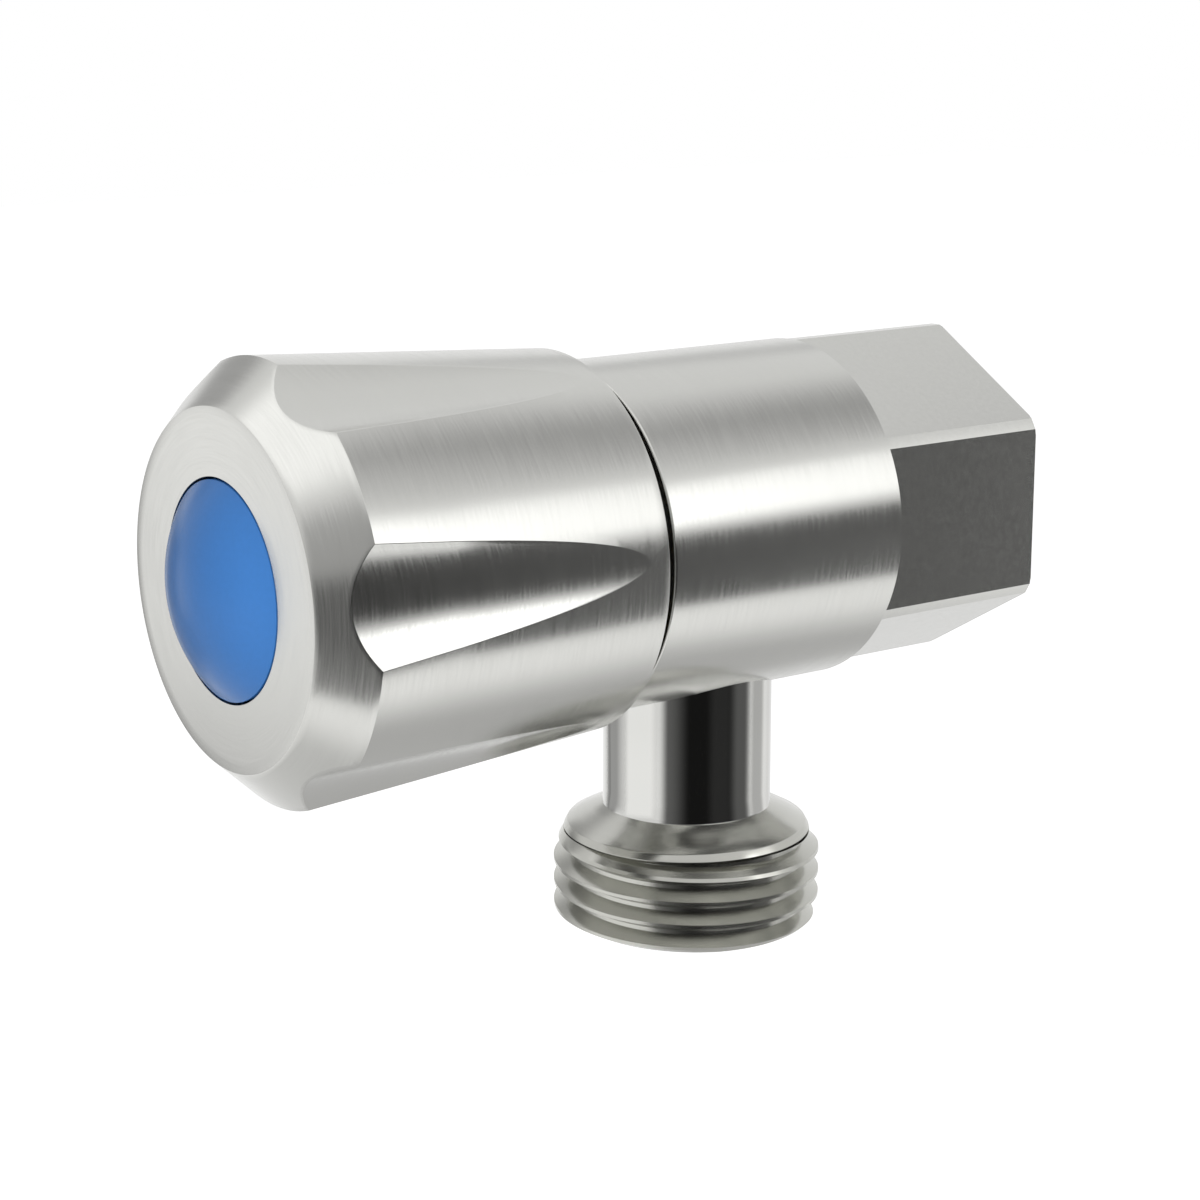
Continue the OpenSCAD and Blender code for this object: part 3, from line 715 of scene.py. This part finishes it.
def paintGapShade(finish):
    # Paints the shade of the gap between body and knob onto the brass: black and not metal, faded at its
    # edges
    nodes, links = finish.node_tree.nodes, finish.node_tree.links
    shader = nodes["Principled BSDF"]
    place = parted(nodes, links, objectPlace(nodes))
    flat = nodes.new("ShaderNodeCombineXYZ")
    links.new(place["X"], flat.inputs["X"])
    links.new(place["Z"], flat.inputs["Z"])
    reach = nodes.new("ShaderNodeVectorMath")
    reach.operation = "LENGTH"
    links.new(flat.outputs[0], reach.inputs[0])
    outer, back, front, fade = gapShade["radius"], gapShade["from"], gapShade["to"], gapShade["fade"]
    band = remap(nodes, links, reach.outputs["Value"], 0, 1, (outer - fade) * mm, outer * mm)
    forward = remap(nodes, links, place["Y"], 1, 0, -(back + fade) * mm, -back * mm)
    behind = remap(nodes, links, place["Y"], 0, 1, -front * mm, -(front - fade) * mm)
    for side in (forward, behind):
        band = joinBy(nodes, links, "MULTIPLY", band, side)
    paint = nodes.new("ShaderNodeMix")
    paint.data_type = "RGBA"
    links.new(band, paint.inputs[0])
    links.new(shader.inputs["Base Color"].links[0].from_socket, paint.inputs[colorInputs[0]])
    paint.inputs[colorInputs[1]].default_value = gapShade["color"] + (1,)
    links.new(paint.outputs[colorOutput], shader.inputs["Base Color"])
    links.new(remap(nodes, links, band, 1, 0, 0, 1), shader.inputs["Metallic"])
    blend = nodes.new("ShaderNodeMix")
    links.new(band, blend.inputs[0])
    links.new(shader.inputs["Roughness"].links[0].from_socket, blend.inputs[numberInputs[0]])
    blend.inputs[numberInputs[1]].default_value = gapShade["roughness"]
    links.new(blend.outputs[0], shader.inputs["Roughness"])


def dress(piece, *finishes):
    piece.data.materials.clear()
    for finish in finishes:
        piece.data.materials.append(finish)


def dressInnerNodes():
    for name, nodes in innerNodes.items():
        finish = plainFinish(name, innerLooks[name])
        for node in nodes:
            dress(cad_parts[node], finish)
    # The brass that shows in the gap between body and knob gets the painted band of shade
    gapShaded = plainFinish("gapShadedBrass", innerLooks["brass"])
    paintGapShade(gapShaded)
    dress(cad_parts["headwork_body"], gapShaded)


def dressBody(piece):
    dress(piece, brushedSteel("bodySteel", bodyLook), plainFinish("milledSteel", hexLook))
    for face in piece.data.polygons:
        station, radius, angle = polar(face.center, False)
        across = radius * cos(radians(angle - middleOfSixth(angle)))
        milled = across < body["hexHalf"] + 2 * margin and radius > body["milledFrom"]
        face.material_index = 1 if milled and station < body["hexLength"] - nearEnough / 2 else 0


def dressOutlet(piece):
    dress(piece, brushedSteel("threadSteel", threadLook, down=True),
          brushedSteel("neckSteel", neckLook, down=True), brushedSteel("collarSteel", collarLook, down=True))
    o = outlet
    for face in piece.data.polygons:
        station, radius, _ = polar(face.center, True)
        if radius < o["spigot"] or station <= o["neckTop"] or station >= o["coneEnd"]:
            continue
        face.material_index = 1 if station < o["neckEnd"] else 2


# Studio: a white room with soft boxes and dark flags that only reflections see

studio = {
    "room": 0.45, "floorAt": -0.35, "floorSize": 8, "floorColor": 0.75, "floorRough": 0.9,
    "floorShine": 0.1, "floorLift": 0.72,
    # Azimuth and elevation, distance and size in metres, power
    "keyLamp": (-15, 14, 0.8, 0.6, 5),
    # Degrees and metres: azimuth, elevation, width, height, soft at the sides, soft above and below,
    # brightness, distance. A nearer card covers those behind it
    "cards": {
        "rightSoftBox": (39, 21, 32, 27, 6.4, 5.4, 1.75, 0.62),
        "rightCore": (26, 20, 18, 25, 6, 5, 3.2, 0.61),
        "leftSoftBox": (-104, 46, 100, 24, 17, 5, 1.65, 0.61),
        "topGrey": (74, 48.5, 88, 31, 42, 8, 0.46, 0.6),
        "backGrey": (139, 26, 26, 18, 10, 7, 0.7, 0.62),
        "leftGrey": (186, 22, 42, 38, 10, 14, 0.5, 0.62),
        "rightGrey": (-46, 15, 64, 38, 9.6, 8, 0.5, 0.58),
        "lowLeftFill": (-104, -17, 50, 22, 9, 4.4, 1.3, 0.57),
        "faceFill": (-152, -13, 50, 34, 15, 10, 1.28, 0.56),
        "softFlag": (-47, -18, 60, 56, 14, 8, 0.16, 0.55),
        "lowFlag": (-50, -34, 60, 34, 18, 16, 0.22, 0.54),
        "lowBackGrey": (124, -26, 56, 44, 14, 12, 0.95, 0.53),
        "sideGrey": (74, -16, 40, 28, 12, 8, 0.65, 0.52),
        "darkFlag": (-2.5, -14, 125, 46, 30, 10, 0.012, 0.48),
        "flagShine": (6, -14, 44, 40, 15, 10, 0.036, 0.47),
        "dimFlag": (39, -14, 46, 42, 18, 5, 0.14, 0.46),
        "sideFlag": (60, -1, 30, 18, 8, 4, 0.15, 0.45),
        "floorGrey": (140, -81, 94, 94, 22, 22, 0.66, 0.3),
    },
    "neckCards": {"neckGrey": (-154, -17, 68, 24, 30, 9, 0.48, 0.15)},
    "faceCards": {"buttonGrey": (185, -14.5, 38, 41, 12, 8, 0.35, 0.15)},
    "cardRows": 24, "neckAt": 18, "faceAt": 66,
    "steep": -60,  # below this a card is bent level, then tipped, since azimuths crowd at the pole
}


def aim(azimuth, elevation):
    side = cos(radians(elevation))
    return Vector((side * cos(radians(azimuth)), side * sin(radians(azimuth)), sin(radians(elevation))))


def studioCard(name, place, azimuth, elevation, width, height, softSide, softUp, level, distance):
    # The card lies on a ball round its place, so its edges are no farther away than its middle
    rows = studio["cardRows"]
    bpy.ops.object.select_all(action="DESELECT")
    bpy.ops.mesh.primitive_grid_add(x_subdivisions=rows, y_subdivisions=rows, size=1)
    card = bpy.context.object
    card.name = name
    tip = Matrix.Rotation(radians(azimuth), 3, "Z") @ Matrix.Rotation(radians(-elevation), 3, "Y")
    for vertex in card.data.vertices:
        right, up = vertex.co.x * width, vertex.co.y * height
        if elevation < studio["steep"]:
            vertex.co = place + tip @ aim(right, up) * distance
        else:
            vertex.co = place + aim(azimuth + right, elevation + up) * distance
    card.data.materials.append(glowFinish(name, softSide / width, softUp / height, level))
    card.visible_camera = False
    card.visible_diffuse = False
    card.visible_shadow = False
    card.visible_transmission = False


def glowFinish(name, softSide, softUp, level):
    # Glows in the middle and fades out towards the card's edges
    finish, nodes, links, _ = newFinish(name)
    nodes.clear()
    glass = nodes.new("ShaderNodeBsdfTransparent")
    glow = nodes.new("ShaderNodeEmission")
    glow.inputs["Color"].default_value = (1, 1, 1, 1)
    glow.inputs["Strength"].default_value = level
    where = nodes.new("ShaderNodeUVMap")
    parts = parted(nodes, links, where.outputs[0])
    masks = []
    for axis, soft in (("X", softSide), ("Y", softUp)):
        fold = nodes.new("ShaderNodeMath")
        fold.operation = "PINGPONG"
        fold.inputs[1].default_value = 0.5
        links.new(parts[axis], fold.inputs[0])
        ramp = nodes.new("ShaderNodeMapRange")
        ramp.interpolation_type = "SMOOTHSTEP"
        ramp.inputs["From Max"].default_value = soft
        links.new(fold.outputs[0], ramp.inputs["Value"])
        masks.append(ramp.outputs["Result"])
    mix = nodes.new("ShaderNodeMixShader")
    links.new(joinBy(nodes, links, "MULTIPLY", *masks), mix.inputs[0])
    links.new(glass.outputs[0], mix.inputs[1])
    links.new(glow.outputs[0], mix.inputs[2])
    links.new(mix.outputs[0], nodes.new("ShaderNodeOutputMaterial").inputs[0])
    return finish


def seenByEye(nodes, links):
    # 1 for camera, glossy and transmission rays, so that metal and glass show the same white
    rays = nodes.new("ShaderNodeLightPath")
    seen = rays.outputs["Is Camera Ray"]
    for ray in ("Is Glossy Ray", "Is Transmission Ray"):
        seen = joinBy(nodes, links, "MAXIMUM", seen, rays.outputs[ray])
    return seen


def makeRoom():
    world = bpy.data.worlds.new("room")
    bpy.context.scene.world = world
    world.use_nodes = True
    nodes, links = world.node_tree.nodes, world.node_tree.links
    white = nodes["Background"]
    white.inputs["Color"].default_value = (1, 1, 1, 1)
    strength = remap(nodes, links, seenByEye(nodes, links), studio["room"], 1, 0, 1)
    links.new(strength, white.inputs["Strength"])
    bpy.ops.object.select_all(action="DESELECT")
    bpy.ops.mesh.primitive_plane_add(size=studio["floorSize"], location=(0, 0, studio["floorAt"]))
    ground = bpy.context.object
    ground.name = "floor"
    finish, nodes, links, shader = newFinish("paleFloor")
    tone = studio["floorColor"]
    shader.inputs["Base Color"].default_value = (tone, tone, tone, 1)
    shader.inputs["Roughness"].default_value = studio["floorRough"]
    shader.inputs["Specular IOR Level"].default_value = studio["floorShine"]
    shader.inputs["Emission Color"].default_value = (1, 1, 1, 1)
    lift = remap(nodes, links, seenByEye(nodes, links), 0, studio["floorLift"], 0, 1)
    links.new(lift, shader.inputs["Emission Strength"])
    ground.data.materials.append(finish)


def softLamp(name, azimuth, elevation, distance, size, power):
    bpy.ops.object.light_add(type="AREA", location=aim(azimuth, elevation) * distance,
                             rotation=(radians(90 - elevation), 0, radians(azimuth + 90)))
    lamp = bpy.context.object
    lamp.name = name
    lamp.data.size = size
    lamp.data.energy = power
    lamp.visible_glossy = False
    lamp.visible_camera = False


def makeStudio():
    makeRoom()
    for name, card in studio["cards"].items():
        studioCard(name, Vector(), *card)
    for name, card in studio["neckCards"].items():
        studioCard(name, onAxis(studio["neckAt"], True), *card)
    for name, card in studio["faceCards"].items():
        studioCard(name, onAxis(studio["faceAt"], False), *card)
    softLamp("keyLamp", *studio["keyLamp"])
    bpy.context.scene.view_settings.view_transform = "Standard"


# The camera stands where the photo was taken from: millimetres, degrees, and pixels for the focal length

camera = {
    "place": (160.77, -149.6, 42.04), "turn": 54.226, "tilt": -13.377, "roll": -0.07,
    "focal": 2692.5, "imageSize": 1200, "sensor": 36, "clipStart": 10,
}


def setCamera():
    c = camera
    data = bpy.data.cameras.new("photoView")
    data.sensor_width = c["sensor"]
    data.lens = c["focal"] / c["imageSize"] * c["sensor"]
    data.clip_start = c["clipStart"] * mm
    eye = bpy.data.objects.new("photoView", data)
    bpy.context.scene.collection.objects.link(eye)
    turn = Matrix.Rotation(radians(c["turn"]), 4, "Z")
    tilt = Matrix.Rotation(radians(90 + c["tilt"]), 4, "X")
    roll = Matrix.Rotation(radians(c["roll"]), 4, "Z")
    eye.matrix_world = Matrix.Translation(Vector(c["place"]) * mm) @ turn @ tilt @ roll
    bpy.context.scene.camera = eye


setCamera()
print("camera set")
tapBody = makeBody()
print("body made", len(tapBody.data.polygons))
tapKnob = makeKnob()
print("knob made", len(tapKnob.data.polygons))
tapOutlet = makeOutlet()
print("outlet made", len(tapOutlet.data.polygons))
tapButton = makeButton()
print("button made", len(tapButton.data.polygons))

dressInnerNodes()
dressBody(tapBody)
dress(tapKnob, brushedSteel("knobSteel", knobLook))
dressOutlet(tapOutlet)
dress(tapButton, plainFinish("buttonBlue", buttonLook))
print("finishes set")

makeStudio()
print("studio set")
